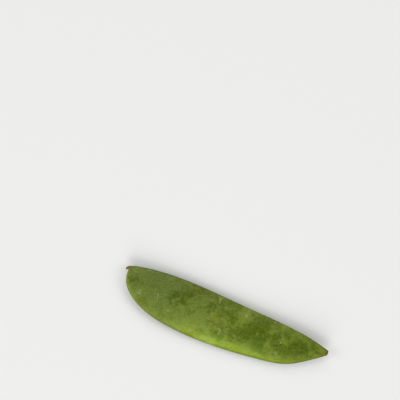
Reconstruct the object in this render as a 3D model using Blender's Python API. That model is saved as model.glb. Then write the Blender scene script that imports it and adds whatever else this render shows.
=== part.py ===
"""Snow pea pod, topped at its stem and lying on one of its broad sides.

The pod is one closed solid, because it grew as one piece: two valves that meet along
two sutures. +X runs from the blossom end, with its hooked beak, to the cut stem end.
The ventral suture, the straighter edge that the peas hang from, lies towards +Y, and
the dorsal edge, which bulges, towards -Y. The pod rests on z = 0 on a small flat of
its belly, and the origin is under the middle of its box. All lengths are in metres.
"""

import math

import bmesh
import bpy
import numpy as np

MM = 0.001

# The sections across the pod, from the beak's tip to the cut, in millimetres: where
# each one meets the ventral edge and the dorsal edge, and half its thickness.
STATIONS = (
    (-1.95, 1.95, -1.75, 1.90, 0.12),
    (-2.20, 2.70, -1.30, 2.42, 0.36),
    (-1.70, 3.52, -0.95, 2.32, 0.50),
    (-0.50, 4.22, -0.88, 1.25, 0.68),
    (1.10, 4.78, -0.62, -1.25, 0.92),
    (3.70, 5.38, 0.80, -4.50, 1.24),
    (8.20, 6.15, 4.90, -8.50, 1.66),
    (15.50, 6.90, 12.60, -12.50, 2.05),
    (26.50, 7.20, 25.20, -15.25, 2.34),
    (40.00, 6.70, 40.00, -16.10, 2.46),
    (55.00, 5.85, 55.00, -15.55, 2.44),
    (70.00, 5.05, 69.60, -14.00, 2.26),
    (82.50, 3.95, 81.80, -11.00, 1.86),
    (90.60, 2.50, 90.30, -5.55, 1.34),
    (95.90, 1.10, 95.95, -1.20, 0.80),
)
RINGS_PER_GAP = 6
RING_POINTS = 40

# A section is a flat belly with a round rib along each of its two edges.
BELLY_POWER = 2.6  # 2 is a plain arc, and more is flatter with steeper sides
BELLY_SKEW = 0.9  # under 1 brings the thickest line nearer the ventral edge
VENTRAL_RIB = 0.75 * MM  # the ribs' radii
DORSAL_RIB = 0.45 * MM
RIB_LIMIT = 0.9  # of the half thickness, where the pod is thin
RIB_FADE = 1.5  # how far a rib runs out into the valve, in its own radii
BLEND_POWER = 2.2  # how softly the ribs run into the belly

PEAS = 8
FIRST_PEA, LAST_PEA = 0.22, 0.85  # as shares of the way along the pod
PEA_ACROSS = 0.42  # as a share of the way from the ventral edge to the dorsal one
PEA_RADIUS = 3.4 * MM
PEA_HEIGHT = 0.36 * MM

BOW = 1.8 * MM  # how far the two ends lift above the middle
TWIST = math.radians(4)  # of each end against the middle
REST_FLAT = 0.40 * MM  # how much of the belly is pressed flat where it rests

GREEN = (0.128, 0.171, 0.030)


def smooth_curve(knots, values):
    """The natural cubic spline through the rows of values, as a function of the knot."""
    gaps = np.diff(knots)
    slopes = np.diff(values, axis=0) / gaps[:, None]
    matrix = np.eye(len(knots))
    right = np.zeros_like(values)
    for i in range(1, len(knots) - 1):
        matrix[i, i - 1 : i + 2] = gaps[i - 1], 2 * (gaps[i - 1] + gaps[i]), gaps[i]
        right[i] = 6 * (slopes[i] - slopes[i - 1])
    bends = np.linalg.solve(matrix, right)

    def at(knot):
        i = min(int(np.searchsorted(knots, knot, "right")) - 1, len(gaps) - 1)
        gap, step = gaps[i], knot - knots[i]
        slope = slopes[i] - gap * (2 * bends[i] + bends[i + 1]) / 6
        curl = (bends[i + 1] - bends[i]) / (6 * gap)
        return values[i] + step * (slope + step * (bends[i] / 2 + step * curl))

    return at


def station_knots(stations):
    """How far along the pod each station is, as the mean of its two edges' lengths."""
    steps = np.diff(stations[:, :4], axis=0)
    lengths = np.hypot(steps[:, 0], steps[:, 1]) + np.hypot(steps[:, 2], steps[:, 3])
    return np.concatenate([[0], np.cumsum(lengths / 2)])


def ring_knots(knots):
    """The same number of rings between each two stations, so the ends get the most."""
    numbers = np.arange((len(knots) - 1) * RINGS_PER_GAP + 1) / RINGS_PER_GAP
    return np.interp(numbers, np.arange(len(knots)), knots)


def belly(across):
    """The belly's thickness at a share of a section's width, as a share of its most."""
    return 1 - abs(1 - 2 * across**BELLY_SKEW) ** BELLY_POWER


def rib(from_edge, radius):
    """A rib's thickness: a half circle at the edge that fades into the valve."""
    share = from_edge / radius
    if share < 1:
        return radius * math.sqrt(share * (2 - share))
    return radius * math.exp(-(((share - 1) / RIB_FADE) ** 2))


def pea_centres(row_at, length):
    """Where the unripe peas swell the valves."""
    centres = []
    for share in np.linspace(FIRST_PEA, LAST_PEA, PEAS):
        row = row_at(share * length)
        centres.append(row[0:2] + PEA_ACROSS * (row[2:4] - row[0:2]))
    return centres


def pea_relief(point, centres):
    """How far the peas push a valve out at this point of the pod's plane."""
    shares = [((point - centre) ** 2).sum() / PEA_RADIUS**2 for centre in centres]
    return PEA_HEIGHT * sum(math.exp(-share) for share in shares)


def half_thickness(across, width, half, swelling):
    """Half a section's thickness at a share of its width: belly, peas and both ribs."""
    shape = belly(across)
    most = RIB_LIMIT * half
    waves = (
        half * shape + swelling * shape,
        rib(across * width, min(VENTRAL_RIB, most)),
        rib((1 - across) * width, min(DORSAL_RIB, most)),
    )
    return sum(wave**BLEND_POWER for wave in waves) ** (1 / BLEND_POWER)


def section_ring(row, centres):
    """One ring: up over the upper valve to the dorsal edge, and back underneath."""
    ventral, dorsal, half = row[0:2], row[2:4], row[4]
    width = np.linalg.norm(dorsal - ventral)
    ring = []
    for i in range(RING_POINTS):
        turn = 2 * math.pi * i / RING_POINTS
        across = (1 - math.cos(turn)) / 2
        point = ventral + across * (dorsal - ventral)
        height = half_thickness(across, width, half, pea_relief(point, centres))
        ring.append((*point, height if turn < math.pi else -height))
    return ring


def pod_rings():
    """Every ring of the pod, lying flat about z = 0, as an array of points."""
    stations = np.array(STATIONS) * MM
    knots = station_knots(stations)
    row_at = smooth_curve(knots, stations)
    centres = pea_centres(row_at, knots[-1])
    return np.array([section_ring(row_at(k), centres) for k in ring_knots(knots)])


def lay_down(rings):
    """Bows and twists the pod, moves its box over the origin and rests it on z = 0."""
    low, high = rings.min(axis=(0, 1)), rings.max(axis=(0, 1))
    rings = rings - (low + high) / 2
    along = rings[..., 0] / (high[0] - low[0]) * 2
    rings[..., 2] += BOW * along**2 + math.tan(TWIST) * along * rings[..., 1]
    rings[..., 2] -= rings[..., 2].min() + REST_FLAT
    rings[..., 2] = np.maximum(rings[..., 2], 0)
    return rings


def loft(name, rings):
    """A closed mesh over the rings, with a flat face on the first and the last."""
    bm = bmesh.new()
    loops = [[bm.verts.new(point) for point in ring] for ring in rings]
    for first, second in zip(loops, loops[1:]):
        for i in range(RING_POINTS):
            j = (i + 1) % RING_POINTS
            bm.faces.new((first[i], first[j], second[j], second[i]))
    bm.faces.new(loops[0])
    bm.faces.new(loops[-1])
    bmesh.ops.recalc_face_normals(bm, faces=bm.faces)
    mesh = bpy.data.meshes.new(name)
    bm.to_mesh(mesh)
    bm.free()
    mesh.shade_smooth()
    mesh.set_sharp_from_angle(angle=math.radians(50))
    return mesh


def skin_material():
    """Fresh green pod skin with a dull wax bloom."""
    material = bpy.data.materials.new("pod_skin")
    material.use_nodes = True
    shader = material.node_tree.nodes["Principled BSDF"]
    shader.inputs["Base Color"].default_value = (*GREEN, 1)
    shader.inputs["Roughness"].default_value = 0.5
    shader.inputs["Metallic"].default_value = 0
    return material


def clear_scene():
    for thing in list(bpy.data.objects):
        bpy.data.objects.remove(thing)


def main():
    clear_scene()
    parts = bpy.data.collections.new("snow_pea_pod")
    bpy.context.scene.collection.children.link(parts)
    mesh = loft("pod", lay_down(pod_rings()))
    mesh.materials.append(skin_material())
    parts.objects.link(bpy.data.objects.new("pod", mesh))


main()
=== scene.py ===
"""The looks of the snow pea pod: its fine surface, materials, floor, light and camera.

The pod lies as the frame says: +X from the hooked blossom end to the cut stem end, +Y
towards the ventral suture, +Z up. Lengths are in metres, except where a comment says
that they are in millimetres.
"""

import math

import bpy
import numpy as np
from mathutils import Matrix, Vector


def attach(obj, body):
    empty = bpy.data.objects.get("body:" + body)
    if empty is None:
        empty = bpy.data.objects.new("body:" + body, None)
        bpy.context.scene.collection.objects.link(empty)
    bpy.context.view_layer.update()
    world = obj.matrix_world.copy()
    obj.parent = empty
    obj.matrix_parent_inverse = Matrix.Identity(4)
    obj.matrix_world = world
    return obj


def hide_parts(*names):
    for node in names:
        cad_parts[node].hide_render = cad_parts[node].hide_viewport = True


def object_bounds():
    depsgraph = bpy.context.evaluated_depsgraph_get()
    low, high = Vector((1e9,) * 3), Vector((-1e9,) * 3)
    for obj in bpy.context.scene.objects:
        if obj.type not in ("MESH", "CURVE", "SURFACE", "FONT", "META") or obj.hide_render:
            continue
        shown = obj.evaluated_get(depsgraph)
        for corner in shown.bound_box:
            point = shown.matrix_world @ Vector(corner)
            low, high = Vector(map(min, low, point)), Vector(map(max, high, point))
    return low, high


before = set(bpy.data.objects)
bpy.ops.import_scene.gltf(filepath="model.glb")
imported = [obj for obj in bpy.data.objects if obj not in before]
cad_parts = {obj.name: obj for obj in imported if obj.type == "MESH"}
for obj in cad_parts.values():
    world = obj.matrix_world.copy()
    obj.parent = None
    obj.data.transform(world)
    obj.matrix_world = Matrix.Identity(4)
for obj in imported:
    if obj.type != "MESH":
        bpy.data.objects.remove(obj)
cad_low, cad_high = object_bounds()

MM = 0.001
SEED = 7
rng = np.random.default_rng(SEED)

# ---------------------------------------------------------------- the pod's form

# The sections across the pod, from the beak's tip to the cut, in millimetres: where
# each one meets the ventral edge and the dorsal edge, and half its thickness.
STATIONS = (
    (-1.95, 1.95, -1.75, 1.90, 0.12),
    (-2.20, 2.70, -1.30, 2.42, 0.36),
    (-1.70, 3.52, -0.95, 2.32, 0.50),
    (-0.50, 4.22, -0.88, 1.25, 0.68),
    (1.10, 4.78, -0.62, -1.25, 0.92),
    (3.70, 5.38, 0.80, -4.50, 1.24),
    (8.20, 6.15, 4.90, -8.50, 1.66),
    (15.50, 6.90, 12.60, -12.50, 2.05),
    (26.50, 7.20, 25.20, -15.25, 2.34),
    (40.00, 6.70, 40.00, -16.10, 2.46),
    (55.00, 5.85, 55.00, -15.55, 2.44),
    (70.00, 5.05, 69.60, -14.00, 2.26),
    (82.50, 3.95, 81.80, -11.00, 1.86),
    (90.60, 2.50, 90.30, -5.55, 1.34),
    (95.90, 1.10, 95.95, -1.20, 0.80),
)
RINGS_PER_GAP = 26
RING_POINTS = 144

BELLY_POWER = 2.6  # 2 is a plain arc, and more is flatter with steeper sides
BELLY_SKEW = 0.9  # under 1 brings the thickest line nearer the ventral edge
VENTRAL_RIB = 0.75 * MM  # the ribs' radii
DORSAL_RIB = 0.45 * MM
RIB_LIMIT = 0.9  # of the half thickness, where the pod is thin
RIB_FADE = 1.5  # how far a rib runs out into the valve, in its own radii
BLEND_POWER = 2.2  # how softly the ribs run into the belly

SEAM_DEPTH = 0.22 * MM  # of the groove between the two valves' ribs
SEAM_HALF_WIDTH = 0.16 * MM
DORSAL_SEAM_DEPTH = 0.06 * MM
WHOLE_SEAM_WIDTH = 6  # how wide the pod is, in millimetres, where they are deepest

PEAS = 8
FIRST_PEA, LAST_PEA = 0.22, 0.85  # as shares of the way along the pod
PEA_ACROSS = 0.42  # as a share of the way from the ventral edge to the dorsal one
PEA_RADIUS = 3.4 * MM
PEA_HEIGHT = 0.36 * MM

BOW = 1.8 * MM  # how far the two ends lift above the middle
TWIST = math.radians(4)  # of each end against the middle
REST_FLAT = 0.40 * MM  # how much of the belly is pressed flat where it rests
REST_EDGE = 0.05 * MM  # how softly the pressed flat ends

UNDULATION = 0.05 * MM  # slight unevenness of the valves
UNDULATIONS = 24
SHORTEST_WAVE, LONGEST_WAVE = 7, 22  # in millimetres

CUT_RINGS = 24
CUT_LIP = 0.10 * MM  # how far the cut's rim stands out, and its flesh sinks in
CUT_SINK = 0.16 * MM
CUT_LIP_END = 0.3  # the share of the way in that the rim takes
CUT_SINK_POWER = 0.7  # under 1 sinks the flesh most near the rim
# In millimetres from the cut's middle: the veins' cut ends, and the closed hollow.
STRANDS = ((0.62, 0.16), (0.62, -0.16), (-0.66, 0.0))
STRAND_RADIUS = 0.11
SLIT_LENGTH = 0.40  # to each end
SLIT_WIDTH = 0.05
SLIT_FADE = 0.15  # the length over which each end of it closes

SKIN, CUT = 0, 1  # the places of the two materials on the mesh
# What the skin's material reads at each point: its shares of the way across and along
# the pod, how far it is from the two edges and the two ends, in millimetres, and how
# much of a pea's swelling and of a seam it has.
SKIN_FACTS = ("across", "along", "ventral", "dorsal", "from_tip", "from_cut", "swelling", "seam")


def smooth_curve(knots, values):
    """The natural cubic spline through the rows of values, as a function of knots."""
    gaps = np.diff(knots)
    slopes = np.diff(values, axis=0) / gaps[:, None]
    matrix = np.eye(len(knots))
    right = np.zeros_like(values)
    for i in range(1, len(knots) - 1):
        matrix[i, i - 1 : i + 2] = gaps[i - 1], 2 * (gaps[i - 1] + gaps[i]), gaps[i]
        right[i] = 6 * (slopes[i] - slopes[i - 1])
    bends = np.linalg.solve(matrix, right)

    def at(where):
        i = np.clip(np.searchsorted(knots, where, "right") - 1, 0, len(gaps) - 1)
        gap, step = gaps[i][..., None], (where - knots[i])[..., None]
        slope = slopes[i] - gap * (2 * bends[i] + bends[i + 1]) / 6
        curl = (bends[i + 1] - bends[i]) / (6 * gap)
        return values[i] + step * (slope + step * (bends[i] / 2 + step * curl))

    return at


def station_knots(stations):
    """How far along the pod each station is, as the mean of its two edges' lengths."""
    steps = np.diff(stations[:, :4], axis=0)
    lengths = np.hypot(steps[:, 0], steps[:, 1]) + np.hypot(steps[:, 2], steps[:, 3])
    return np.concatenate([[0], np.cumsum(lengths / 2)])


def ring_knots(knots):
    """The same number of rings between each two stations, so the ends get the most."""
    numbers = np.arange((len(knots) - 1) * RINGS_PER_GAP + 1) / RINGS_PER_GAP
    return np.interp(numbers, np.arange(len(knots)), knots)


def belly(across):
    """The belly's thickness at a share of a section's width, as a share of its most."""
    return 1 - np.abs(1 - 2 * across**BELLY_SKEW) ** BELLY_POWER


def rib(from_edge, radius):
    """A rib's thickness: a half circle at the edge that fades into the valve."""
    share = from_edge / radius
    round_part = np.sqrt(np.clip(share * (2 - share), 0, 1))
    fading = np.exp(-(((share - 1) / RIB_FADE) ** 2))
    return radius * np.where(share < 1, round_part, fading)


def pea_swelling(points, row_at, length):
    """From 0 to about 1, how much the unripe peas swell the valves at each point."""
    rows = row_at(np.linspace(FIRST_PEA, LAST_PEA, PEAS) * length)
    centres = rows[:, 0:2] + PEA_ACROSS * (rows[:, 2:4] - rows[:, 0:2])
    apart = points[:, :, None, :] - centres
    return np.exp(-(apart**2).sum(-1) / PEA_RADIUS**2).sum(-1)


def undulation(points):
    """A slight unevenness, as a sum of long waves in all directions."""
    total = np.zeros(points.shape[:2])
    for _ in range(UNDULATIONS):
        heading = rng.uniform(0, 2 * math.pi)
        wave = rng.uniform(SHORTEST_WAVE, LONGEST_WAVE) * MM
        phase = rng.uniform(0, 2 * math.pi)
        run = points[..., 0] * math.cos(heading) + points[..., 1] * math.sin(heading)
        total += np.sin(run * 2 * math.pi / wave + phase)
    return total / math.sqrt(UNDULATIONS)


def half_thickness(across, width, half, swelling):
    """Half a section's thickness at a share of its width: belly, peas and both ribs."""
    most = RIB_LIMIT * half
    waves = (
        (half + PEA_HEIGHT * swelling) * belly(across),
        rib(across * width, np.minimum(VENTRAL_RIB, most)),
        rib((1 - across) * width, np.minimum(DORSAL_RIB, most)),
    )
    return sum(wave**BLEND_POWER for wave in waves) ** (1 / BLEND_POWER)


def pod_surface():
    """The skin's rings, each one's heading across the pod, and facts of each point."""
    stations = np.array(STATIONS) * MM
    knots = station_knots(stations)
    row_at = smooth_curve(knots, stations)
    where = ring_knots(knots)
    rows = row_at(where)
    turn = 2 * math.pi * np.arange(RING_POINTS) / RING_POINTS
    side = np.where(turn < math.pi, 1, -1)
    across = np.broadcast_to((1 - np.cos(turn)) / 2, (len(rows), RING_POINTS))
    span = rows[:, 2:4] - rows[:, 0:2]
    width = np.linalg.norm(span, axis=1)[:, None]
    flat = rows[:, None, 0:2] + across[..., None] * span[:, None, :]
    swelling = pea_swelling(flat, row_at, knots[-1])
    height = half_thickness(across, width, rows[:, 4:5], swelling)
    points = np.concatenate([flat, (side * height)[..., None]], axis=-1)
    far = np.broadcast_to(where[:, None], across.shape)
    facts = {
        "across": across,
        "along": (points[..., 0] - points[..., 0].min()) / np.ptp(points[..., 0]),
        "ventral": across * width / MM,
        "dorsal": (1 - across) * width / MM,
        "from_tip": far / MM,
        "from_cut": (knots[-1] - far) / MM,
        "swelling": swelling * belly(across),
        "seam": np.exp(-((height / SEAM_HALF_WIDTH) ** 2)),
        "width": width / MM,
    }
    return points, span / width, side, facts


def fine_relief(points, heading, side, facts):
    """Adds the seams between the valves, and the valves' slight unevenness."""
    whole = np.clip(facts["width"] / WHOLE_SEAM_WIDTH, 0, 1)
    depth = np.where(facts["across"] < 0.5, SEAM_DEPTH, -DORSAL_SEAM_DEPTH) * whole
    points[..., :2] += (depth * facts["seam"])[..., None] * heading[:, None, :]
    rough = undulation(points) * belly(facts["across"])
    points[..., 2] += side * UNDULATION * rough
    return points


def lay_down(points, low, high):
    """Bows and twists the pod, moves its box over the CAD's and rests it on z = 0."""
    points = points - (low + high) / 2
    points[..., :2] += (np.array(cad_low)[:2] + np.array(cad_high)[:2]) / 2
    along = points[..., 0] / (high[0] - low[0]) * 2
    points[..., 2] += BOW * along**2 + math.tan(TWIST) * along * points[..., 1]
    points[..., 2] -= points[..., 2].min() + REST_FLAT
    z = points[..., 2]
    points[..., 2] = (z + np.sqrt(z**2 + REST_EDGE**2)) / 2
    points[..., 2] -= points[..., 2].min()
    return points


def cut_face(rim):
    """The rings that close the cut stem end, and what their material needs to know."""
    middle = rim.mean(axis=0)
    shares = np.arange(1, CUT_RINGS + 1)[:, None] / CUT_RINGS
    rings = middle + (rim - middle) * (1 - shares[..., None])
    lip = CUT_LIP * np.sin(math.pi * np.clip(shares / CUT_LIP_END, 0, 1))
    rings[..., 0] += lip - CUT_SINK * shares**CUT_SINK_POWER
    from_middle = (rings - middle) / MM
    strand = 0
    for y, z in STRANDS:
        apart = np.hypot(from_middle[..., 1] - y, from_middle[..., 2] - z)
        strand = strand + np.exp(-((apart / STRAND_RADIUS) ** 2))
    slit_end = np.clip((SLIT_LENGTH - np.abs(from_middle[..., 1])) / SLIT_FADE, 0, 1)
    slit = slit_end * np.exp(-((from_middle[..., 2] / SLIT_WIDTH) ** 2))
    inward = np.broadcast_to(shares, slit.shape)
    return rings, {"inward": inward, "strand": strand, "slit": slit}


def whole_attributes(facts, cap_facts, skin_rings):
    """The facts of the skin and of the cut as values for every point of both."""
    attributes = {}
    for name in SKIN_FACTS:
        values = facts[name]
        attributes[name] = np.concatenate([values, np.repeat(values[-1:], CUT_RINGS, 0)])
    for name, values in cap_facts.items():
        attributes[name] = np.concatenate([np.zeros((skin_rings, RING_POINTS)), values])
    return attributes


def add_mesh(name, rings, attributes, materials, face_slots):
    """A closed tube of rings, the last of them drawn together in one point."""
    count, size = rings.shape[:2]
    corner = np.arange(count * size).reshape(count, size)
    after = np.roll(corner, -1, 1)
    quads = np.stack([corner[1:], after[1:], after[:-1], corner[:-1]], axis=-1).reshape(-1, 4)
    mesh = bpy.data.meshes.new(name)
    mesh.from_pydata(rings.reshape(-1, 3), [], [*quads.tolist(), corner[0].tolist()])
    for key, values in attributes.items():
        layer = mesh.attributes.new(key, "FLOAT", "POINT")
        layer.data.foreach_set("value", values.astype(np.float32).ravel())
    for material in materials:
        mesh.materials.append(material)
    slots = np.append(np.repeat(face_slots, size), face_slots[0]).astype(np.int32)
    mesh.polygons.foreach_set("material_index", slots)
    mesh.validate()
    mesh.shade_smooth()
    thing = bpy.data.objects.new(name, mesh)
    bpy.context.scene.collection.objects.link(thing)
    return thing


# ---------------------------------------------------------------- materials


NOISE_MIDDLE = 0.5  # what smooth noise wanders about
SPOT_CORE = 0.3  # the share of a spot's radius over which it is full


class Shading:
    """A material's node tree, built by calls that return output sockets."""

    def __init__(self, name):
        self.material = bpy.data.materials.new(name)
        self.material.use_nodes = True
        self.tree = self.material.node_tree
        self.shader = self.tree.nodes["Principled BSDF"]

    def node(self, kind, inputs=(), output=0, **settings):
        """Adds a node with these inputs and settings, and returns one of its outputs."""
        made = self.tree.nodes.new(kind)
        for key, value in settings.items():
            setattr(made, key, value)
        for key, value in dict(inputs).items():
            self.feed(made.inputs[key], value)
        return made.outputs[output]

    def feed(self, socket, value):
        """Links an output socket to this one, or gives this one a value."""
        if isinstance(value, bpy.types.NodeSocket):
            self.tree.links.new(value, socket)
        else:
            socket.default_value = value

    def set(self, name, value):
        """Feeds one of the shader's own inputs."""
        self.feed(self.shader.inputs[name], value)

    def attribute(self, name):
        """What the mesh says of each point under this name."""
        return self.node("ShaderNodeAttribute", output="Fac", attribute_name=name)

    def math(self, operation, first, second=0.0):
        return self.node("ShaderNodeMath", {0: first, 1: second}, operation=operation)

    def times(self, first, second):
        return self.math("MULTIPLY", first, second)

    def ease(self, value, low, high, to_low=0.0, to_high=1.0):
        """value from low to high becomes to_low to to_high, softly at both ends."""
        inputs = {"Value": value, "From Min": low, "From Max": high}
        inputs.update({"To Min": to_low, "To Max": to_high})
        return self.node("ShaderNodeMapRange", inputs, interpolation_type="SMOOTHSTEP")

    def mix(self, share, first, second, blend="MIX"):
        """The first colour, with this share of the second laid over it."""
        made = self.tree.nodes.new("ShaderNodeMix")
        made.data_type = "RGBA"
        made.blend_type = blend
        self.feed(made.inputs[0], share)
        self.feed(made.inputs[6], first)
        self.feed(made.inputs[7], second)
        return made.outputs[2]

    def tint(self, colour, by):
        """A colour multiplied by another, part by part."""
        return self.mix(1.0, colour, by, "MULTIPLY")

    def ramp(self, value, stops):
        """A colour ramp of (position, colour) stops, smoothed over them."""
        made = self.tree.nodes.new("ShaderNodeValToRGB")
        made.color_ramp.interpolation = "B_SPLINE"
        elements = made.color_ramp.elements
        while len(elements) < len(stops):
            elements.new(1.0)
        for element, (position, colour) in zip(elements, stops):
            element.position = position
            element.color = colour
        self.feed(made.inputs[0], value)
        return made.outputs[0]

    def places(self, scale=(1, 1, 1), turn=0.0, shift=(0, 0, 0)):
        """Places on the pod in millimetres, squeezed, turned about Z and shifted."""
        inputs = {"Vector": self.node("ShaderNodeTexCoord", output="Object")}
        inputs["Scale"] = tuple(part / MM for part in scale)
        inputs["Rotation"] = (0, 0, turn)
        inputs["Location"] = shift
        return self.node("ShaderNodeMapping", inputs, vector_type="POINT")

    def noise(self, places, size, detail=2.0, rough=0.5, output=0):
        """Smooth noise about its middle, its largest blotches this many mm apart."""
        inputs = {"Vector": places, "Scale": 1 / size, "Detail": detail}
        inputs["Roughness"] = rough
        return self.node("ShaderNodeTexNoise", inputs, output=output)

    def shaken(self, places, size, amount):
        """The same places, moved about by noise over as many mm as amount."""
        wander = self.noise(places, size, output=1)
        inputs = {0: wander, 1: (amount, amount, amount), 2: places}
        return self.node("ShaderNodeVectorMath", inputs, operation="MULTIPLY_ADD")

    def net(self, places, size, thickness):
        """1 on the lines of an uneven net with meshes of this size, 0 between them."""
        inputs = {"Vector": places, "Scale": 1 / size}
        gap = self.node("ShaderNodeTexVoronoi", inputs, feature="DISTANCE_TO_EDGE")
        return self.ease(gap, 0, thickness / size, 1, 0)

    def strokes(self, places, size, width):
        """1 on thin curved lines, where smooth noise of this size crosses its middle."""
        above = self.math("SUBTRACT", self.noise(places, size, detail=0), NOISE_MIDDLE)
        return self.ease(self.math("ABSOLUTE", above), 0, width, 1, 0)

    def spots(self, places, apart, radius, share):
        """1 in round spots, in about this share of cells that are this far apart."""
        cells = self.tree.nodes.new("ShaderNodeTexVoronoi")
        self.feed(cells.inputs["Vector"], places)
        cells.inputs["Scale"].default_value = 1 / apart
        reach = radius / apart
        near = self.ease(cells.outputs["Distance"], SPOT_CORE * reach, reach, 1, 0)
        chosen = self.math("LESS_THAN", cells.outputs["Color"], share)
        return self.times(near, chosen)

    def relief(self, height):
        """Bumps the shader's surface by this height, in metres."""
        self.set("Normal", self.node("ShaderNodeBump", {"Height": height, "Distance": 1.0}))


LIT = 1.10  # how much brighter than its own colour a level face is in this light


def seen(red, green, blue):
    """The shader's colour for one that is seen as this, from 0 to 255, when lit."""
    parts = []
    for part in (red / 255, green / 255, blue / 255):
        linear = part / 12.92 if part < 0.04 else ((part + 0.055) / 1.055) ** 2.4
        parts.append(linear / LIT)
    return (*parts, 1)


def scaled(colour, factor):
    """A colour with each of its parts multiplied."""
    return (*(part * factor for part in colour), 1)


# The skin from the ventral edge to the dorsal one, first where the wax bloom is rubbed
# off and then where it is whole. Besides the skin's own tones, each holds painted light and
# shade: the band from 0.80 to 0.96 is partly painted light on the lit dorsal slope and partly
# its yellower colour, and the last stop is painted shade on the rounded dorsal edge.
RUBBED_TONE_AND_SHADING = (
    (0.00, seen(95, 111, 16)),
    (0.06, seen(88, 103, 11)),
    (0.18, seen(85, 103, 5)),
    (0.36, seen(77, 96, 2)),
    (0.52, seen(77, 96, 2)),
    (0.66, seen(84, 103, 4)),
    (0.80, seen(101, 121, 8)),
    (0.90, seen(142, 168, 22)),
    (0.96, seen(138, 163, 22)),
    (1.00, seen(88, 104, 12)),
)
BLOOMED_TONE_AND_SHADING = (
    (0.00, seen(124, 138, 58)),
    (0.08, seen(117, 132, 55)),
    (0.22, seen(118, 136, 50)),
    (0.40, seen(115, 134, 47)),
    (0.54, seen(118, 137, 50)),
    (0.68, seen(124, 143, 53)),
    (0.80, seen(134, 153, 57)),
    (0.90, seen(166, 190, 71)),
    (0.96, seen(165, 187, 72)),
    (1.00, seen(112, 128, 46)),
)
MARGIN = seen(154, 172, 66)
PALE_VEIN = seen(126, 144, 52)
SCUFF = seen(150, 162, 92)
SPECK = seen(50, 60, 20)
# the ventral seam's dark line: partly its own colour, partly painted shade in the groove
SEAM = seen(74, 88, 16)
DRIED = seen(128, 86, 32)
WITHERED = seen(84, 50, 22)
BROWNED = seen(96, 74, 28)

OLIVE = (1.05, 1.00, 0.78)  # multiplies the skin where its hue is yellower
SEA_GREEN = (0.97, 1.00, 1.00)  # and where it is greyer
GRAIN = (0.35, 0.38, 0.20, 1)  # what the fine dark grain multiplies the skin by
BLACK = (0, 0, 0, 1)
LENGTHWISE_TONE_AND_SHADE = (  # multiplies the skin from the blossom end to the cut: partly its own tone, and partly painted shade, darkest a sixth of the way from the blossom end
    (0.00, (0.90, 0.86, 1.10)),
    (0.16, (0.72, 0.71, 0.98)),
    (0.34, (0.93, 0.90, 0.97)),
    (0.55, (1.15, 1.12, 1.28)),
    (0.68, (0.95, 1.00, 1.06)),
    (0.82, (0.93, 0.97, 0.68)),
    (1.00, (0.96, 0.90, 0.45)),
)
# A smooth ramp can't pass 1, so its stops are divided by this and the hues multiplied.
HEADROOM = 1.3

# Sizes, widths and shifts in the skin are in millimetres. Four numbers in a row say
# where something starts to change and where it stops, and what it is before and after.
BLOOM_SIZE = 12  # of the largest patches of bloom
BLOOM_SHIFT = (-96, -87, -369)  # where its noise begins
BLOOM_WORN = 0.035  # how far the peas' swellings lower the noise
BLOOM_ALONG = (0.0, 0.60, 0.11, -0.025)  # what is added to it along the pod
BLOOM_FADE = (0.395, 0.605, 0, 1)  # over the noise

HUE_SIZE = 14  # of the largest patches of one hue
HUE_SHIFT = (74, -23, 289)
HUE_YELLOWED = 0.07  # how far the peas' swellings make it yellower
HUE_ALONG = (0.05, 0.55, 0.07, -0.01)
HUE_FADE = (0.36, 0.60, 0, 1)  # from olive to sea green

PAINTED_LIGHT_BAND = (0.72, 0.90, 0, 1)  # across the pod: where the painted light beside the dorsal edge lies
DULLED_BLOSSOM = (0.08, 0.50, 0.36, 0)  # along it: how far that painted light is dimmed towards each end
DULLED_STEM = (0.58, 0.90, 0, 0.30)
MARGIN_ACROSS = (0.5, 2.6, 1, 0)  # from the dorsal edge
MARGIN_ALONG = (0.04, 0.30, 0.34, 0)

GRAIN_SIZE = 1.0
DARK_GRAIN = (0.30, 0.60, 0.46, 0)  # over the grain's noise
PALE_GRAIN = (0.46, 0.74, 0, 0.24)

VEIN_SLANT = math.radians(28)
VEIN_STRETCH = (0.45, 1, 1)  # under 1 draws the meshes out
WIDE_MESH, WIDE_VEIN = 2.6, 0.16  # the veins' net: its meshes and its lines
FINE_MESH, FINE_VEIN = 1.1, 0.10
STRING_SIZE = 1.0
STRING_STRETCH = (0.12, 2.2, 2.2)
STRING_FADE = (0.45, 0.70, 0, 1)
SUTURE_WIDTHS = (2.4, 1.6)  # of the strings beside the ventral and the dorsal suture
SCUFF_FADE = (0.47, 0.56, 0, 0.85)  # breaks the scuffs up, over noise

VEIN_SHARE = 0.13  # of the marks' own colours where they are strongest
STRING_SHARE = 0.25
PORE_SHARE = 0.22
SEAM_SHARE = 0.6
SPECK_SHARE = 0.6

RAGGED_SIZE, RAGGED_BY = 0.9, 2.2  # of the uneven edges of what has dried
DRIED_TIP = (1.2, 3.0, 1, 0)  # from the beak's tip
WITHERED_TIP = (0.0, 1.0, 1, 0)
BROWNED_RIM = (0.1, 1.3, 1, 0)  # from the cut
BROWNED_STRING = (0, 28, 0.9, 0)
BROWNED_WIDTHS = (0.7, 1.2)  # of the ventral and the dorsal string

RUBBED_ROUGHNESS, BLOOMED_ROUGHNESS = 0.42, 0.60
SKIN_SPECULAR = 0.12
GLOW = 0.10  # the share of light that passes through the flesh under the skin
GLOW_COLOUR = (1.0, 0.8, 0.25)
GLOW_DEPTH = 0.9 * MM
GRAIN_RELIEF = 0.020 * MM
VEIN_RELIEF = 0.007 * MM
STRING_RELIEF = 0.05 * MM


def bloom(s, facts):
    """How much wax bloom is left: most at the blossom end and least on the peas."""
    patches = s.noise(s.places(shift=BLOOM_SHIFT), BLOOM_SIZE, detail=3, rough=0.78)
    worn = s.times(facts["swelling"], BLOOM_WORN)
    end = s.ease(facts["along"], *BLOOM_ALONG)
    left = s.math("ADD", s.math("SUBTRACT", patches, worn), end)
    return s.ease(left, *BLOOM_FADE)


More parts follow.
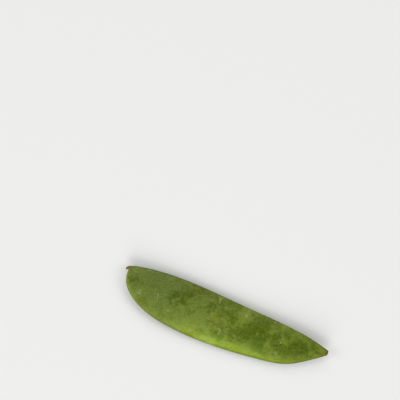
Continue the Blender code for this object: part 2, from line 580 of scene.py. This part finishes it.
def sea_green_share(s, facts):
    """How far the hue has wandered from olive: most at the blossom end."""
    places = s.shaken(s.places(shift=HUE_SHIFT), size=6, amount=9)
    wander = s.noise(places, HUE_SIZE, detail=4, rough=0.65)
    yellowed = s.times(facts["swelling"], HUE_YELLOWED)
    end = s.ease(facts["along"], *HUE_ALONG)
    wandered = s.math("ADD", s.math("SUBTRACT", wander, yellowed), end)
    return s.ease(wandered, *HUE_FADE)


def near_edges(s, facts, widths):
    """1 at either suture, 0 from these widths away, the ventral one's first."""
    ventral = s.ease(facts["ventral"], 0, widths[0], 1, 0)
    dorsal = s.ease(facts["dorsal"], 0, widths[1], 1, 0)
    return s.math("MAXIMUM", ventral, dorsal)


def veins(s):
    """The faint net of veins, its meshes drawn out slantwise from the sutures."""
    places = s.shaken(s.places(VEIN_STRETCH, VEIN_SLANT), size=2.0, amount=1.1)
    wide = s.net(places, WIDE_MESH, WIDE_VEIN)
    return s.math("MAXIMUM", wide, s.net(places, FINE_MESH, FINE_VEIN))


def dulled_band(s, facts, skin):
    """Darkens the painted light in the band beside the dorsal edge towards both of its ends."""
    blossom = s.ease(facts["along"], *DULLED_BLOSSOM)
    stem = s.ease(facts["along"], *DULLED_STEM)
    band = s.ease(facts["across"], *PAINTED_LIGHT_BAND)
    return s.mix(s.times(band, s.math("ADD", blossom, stem)), skin, BLACK)


def grained(s, grain, skin):
    """The fine dark grain of the skin, and the pale one of its wax."""
    skin = s.mix(s.ease(grain, *DARK_GRAIN), skin, s.tint(skin, GRAIN))
    return s.mix(s.ease(grain, *PALE_GRAIN), skin, SCUFF)


def tinted(s, facts, skin):
    """The slow changes of hue: lengthwise, with painted shade near the blossom end, and in
    patches.
    """
    lengthwise = [(at, scaled(colour, 1 / HEADROOM)) for at, colour in LENGTHWISE_TONE_AND_SHADE]
    skin = s.tint(skin, s.ramp(facts["along"], lengthwise))
    olive, sea_green = scaled(OLIVE, HEADROOM), scaled(SEA_GREEN, HEADROOM)
    return s.tint(skin, s.mix(sea_green_share(s, facts), olive, sea_green))


def pale_margin(s, facts, skin):
    """Lightens the dorsal edge at the blossom end."""
    margin = s.ease(facts["dorsal"], *MARGIN_ACROSS)
    blossom = s.ease(facts["along"], *MARGIN_ALONG)
    return s.mix(s.times(margin, blossom), skin, MARGIN)


def scuffed(s, places, skin):
    """Short pale scratches, in a few places each."""
    strewn = s.shaken(places, size=4.0, amount=5.0)
    scuffs = s.spots(strewn, apart=7.5, radius=3.0, share=0.75)
    broken = s.times(scuffs, s.ease(s.noise(places, size=1.5), *SCUFF_FADE))
    strokes = s.strokes(s.shaken(places, size=1.5, amount=0.8), size=2.2, width=0.13)
    return s.mix(s.times(broken, strokes), skin, SCUFF)


def pored(s, places, skin):
    """Pale pores, close together."""
    pores = s.spots(places, apart=0.42, radius=0.13, share=0.9)
    return s.mix(s.times(pores, PORE_SHARE), skin, PALE_VEIN)


def specked(s, places, skin):
    """Small dark specks, far apart."""
    strewn = s.shaken(places, size=1.0, amount=0.5)
    specks = s.spots(strewn, apart=3.4, radius=0.32, share=0.40)
    return s.mix(s.times(specks, SPECK_SHARE), skin, SPECK)


def dried_ends(s, facts, places, skin):
    """Browns the beak's tip, the rim of the cut, and the sutures beside it."""
    uneven = s.noise(places, RAGGED_SIZE, detail=4, rough=0.7)
    ragged = s.times(s.math("SUBTRACT", uneven, NOISE_MIDDLE), RAGGED_BY)
    from_tip = s.math("ADD", facts["from_tip"], ragged)
    from_cut = s.math("ADD", facts["from_cut"], ragged)
    skin = s.mix(s.ease(from_tip, *DRIED_TIP), skin, DRIED)
    skin = s.mix(s.ease(from_tip, *WITHERED_TIP), skin, WITHERED)
    rim = s.ease(from_cut, *BROWNED_RIM)
    edges = near_edges(s, facts, BROWNED_WIDTHS)
    string = s.times(s.ease(from_cut, *BROWNED_STRING), edges)
    return s.mix(s.math("MAXIMUM", rim, string), skin, BROWNED)


def skin_material():
    """Fresh pod skin: two tones of green under wax bloom, with its marks and wear, and painted
    light and shade.
    """
    s = Shading("pod_skin")
    facts = {name: s.attribute(name) for name in SKIN_FACTS}
    places = s.places()
    left = bloom(s, facts)
    net = veins(s)
    strings = s.noise(s.places(STRING_STRETCH), STRING_SIZE, detail=3, rough=0.6)
    grain = s.noise(places, GRAIN_SIZE, detail=4, rough=0.75)
    edges = near_edges(s, facts, SUTURE_WIDTHS)

    # the ramps across carry painted light beside the dorsal edge and painted shade on it
    skin = s.mix(left, s.ramp(facts["across"], RUBBED_TONE_AND_SHADING), s.ramp(facts["across"], BLOOMED_TONE_AND_SHADING))
    skin = grained(s, grain, dulled_band(s, facts, skin))
    skin = pale_margin(s, facts, tinted(s, facts, skin))
    skin = s.mix(s.times(net, VEIN_SHARE), skin, PALE_VEIN)
    lines = s.times(s.ease(strings, *STRING_FADE), s.times(edges, STRING_SHARE))
    skin = s.mix(lines, skin, SCUFF)
    skin = pored(s, places, scuffed(s, places, skin))
    # darkens the ventral seam: partly its own dark line, partly painted shade in its groove
    seam = s.times(facts["seam"], s.math("LESS_THAN", facts["across"], 0.5))
    skin = s.mix(s.times(seam, SEAM_SHARE), skin, SEAM)
    skin = specked(s, places, skin)
    s.set("Base Color", dried_ends(s, facts, places, skin))

    s.set("Roughness", s.ease(left, 0, 1, RUBBED_ROUGHNESS, BLOOMED_ROUGHNESS))
    s.set("Specular IOR Level", SKIN_SPECULAR)
    s.set("Subsurface Weight", GLOW)
    s.set("Subsurface Radius", GLOW_COLOUR)
    s.set("Subsurface Scale", GLOW_DEPTH)
    ridged = s.times(s.times(strings, edges), STRING_RELIEF)
    raised = s.math("ADD", s.times(net, VEIN_RELIEF), ridged)
    s.relief(s.math("ADD", s.times(grain, GRAIN_RELIEF), raised))
    return s.material


INWARD = (  # the cut face from its rim to its middle
    (0.00, BROWNED),
    (0.10, seen(104, 106, 40)),
    (0.22, seen(150, 156, 88)),
    (0.60, seen(178, 186, 122)),
    (1.00, seen(170, 180, 112)),
)
FIBRE = seen(126, 128, 66)
STRAND = seen(120, 104, 54)
SLIT = seen(84, 90, 34)
CUT_MARK_SHARE = 0.8  # of the strands' and the slit's own colour in each of them
FIBRE_SIZE = 0.20  # in millimetres
FIBRE_FADE = (0.40, 0.66, 0, 0.30)
FIBRE_RELIEF = 0.08 * MM
CUT_ROUGHNESS = 0.55
CUT_SPECULAR = 0.3


def cut_material():
    """The cut stem end: pale flesh in a browned skin, with veins and a closed slit."""
    s = Shading("cut_flesh")
    noise = s.noise(s.places(), FIBRE_SIZE, detail=3, rough=0.7)
    fibres = s.ease(noise, *FIBRE_FADE)
    flesh = s.mix(fibres, s.ramp(s.attribute("inward"), INWARD), FIBRE)
    flesh = s.mix(s.times(s.attribute("strand"), CUT_MARK_SHARE), flesh, STRAND)
    flesh = s.mix(s.times(s.attribute("slit"), CUT_MARK_SHARE), flesh, SLIT)
    s.set("Base Color", flesh)
    s.set("Roughness", CUT_ROUGHNESS)
    s.set("Specular IOR Level", CUT_SPECULAR)
    s.relief(s.times(fibres, FIBRE_RELIEF))
    return s.material


FLOOR_COLOUR = (0.80, 0.80, 0.79, 1)
FLOOR_ROUGHNESS = 0.9


def floor_material():
    """A plain pale, dull floor."""
    s = Shading("pale_floor")
    s.set("Base Color", FLOOR_COLOUR)
    s.set("Roughness", FLOOR_ROUGHNESS)
    return s.material


# ---------------------------------------------------------------- the pieces

FLOOR_HALF = 3.0


def make_pod():
    """The whole pod, as one piece that stands for the CAD's."""
    points, heading, side, facts = pod_surface()
    low, high = points.min(axis=(0, 1)), points.max(axis=(0, 1))
    points = lay_down(fine_relief(points, heading, side, facts), low, high)
    cap, cap_facts = cut_face(points[-1])
    attributes = whole_attributes(facts, cap_facts, len(points))
    slots = [SKIN] * (len(points) - 1) + [CUT] * CUT_RINGS
    rings = np.concatenate([points, cap])
    pod = add_mesh("pod_skin", rings, attributes, [skin_material(), cut_material()], slots)
    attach(pod, "root")
    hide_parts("pod")


def make_floor():
    half = FLOOR_HALF
    mesh = bpy.data.meshes.new("floor")
    corners = [(-half, -half, 0), (half, -half, 0), (half, half, 0), (-half, half, 0)]
    mesh.from_pydata(corners, [], [(0, 1, 2, 3)])
    mesh.materials.append(floor_material())
    floor = bpy.data.objects.new("floor", mesh)
    bpy.context.scene.collection.objects.link(floor)


# ---------------------------------------------------------------- light and camera

VIEW_WIDTH = 0.180  # of what the camera sees at the pod
VIEW_TURN = math.radians(21.4)  # the pod's length falls to the right by this
VIEW_OFF_POD = (-0.0099, 0.0549)  # right and up, from the pod's middle to the view's
LENS = 100
SENSOR = 36

SOFTBOXES = (  # name, place to the right, up and above in the view, size and power
    ("back", (0.15, 1.10, 1.10), 1.2, 9.2),
    ("front", (-0.3, -1.20, 0.90), 1.2, 15.3),
    ("left", (-1.3, 0.1, 1.2), 0.9, 7.3),
    ("right", (1.3, 0.0, 1.2), 0.9, 7.3),
)
FILL = 0.22  # the strength of the even white light from all round


def turned(right, up):
    """A place given to the right and up in the view, as x and y in the frame."""
    cos, sin = math.cos(VIEW_TURN), math.sin(VIEW_TURN)
    return right * cos - up * sin, right * sin + up * cos


def make_camera():
    """Looks straight down on the pod."""
    data = bpy.data.cameras.new("camera")
    data.lens = LENS
    data.sensor_width = SENSOR
    camera = bpy.data.objects.new("camera", data)
    height = VIEW_WIDTH * LENS / SENSOR + (cad_high[2] - cad_low[2]) / 2
    camera.location = (*turned(*VIEW_OFF_POD), height)
    camera.rotation_euler = (0, 0, VIEW_TURN)
    bpy.context.scene.collection.objects.link(camera)
    bpy.context.scene.camera = camera


def add_softbox(name, place, size, power):
    """A square softbox that faces the pod."""
    data = bpy.data.lights.new(name, "AREA")
    data.shape = "SQUARE"
    data.size = size
    data.energy = power
    light = bpy.data.objects.new(name, data)
    light.location = (*turned(*place[:2]), place[2])
    light.rotation_euler = (-Vector(light.location)).to_track_quat("-Z", "Y").to_euler()
    bpy.context.scene.collection.objects.link(light)


def make_light():
    """Four softboxes in an evenly lit white studio."""
    for softbox in SOFTBOXES:
        add_softbox(*softbox)
    world = bpy.data.worlds.new("studio")
    bpy.context.scene.world = world
    world.use_nodes = True
    background = world.node_tree.nodes["Background"]
    background.inputs["Color"].default_value = (1, 1, 1, 1)
    background.inputs["Strength"].default_value = FILL
    bpy.context.scene.view_settings.view_transform = "Standard"


make_pod()
make_floor()
make_camera()
make_light()
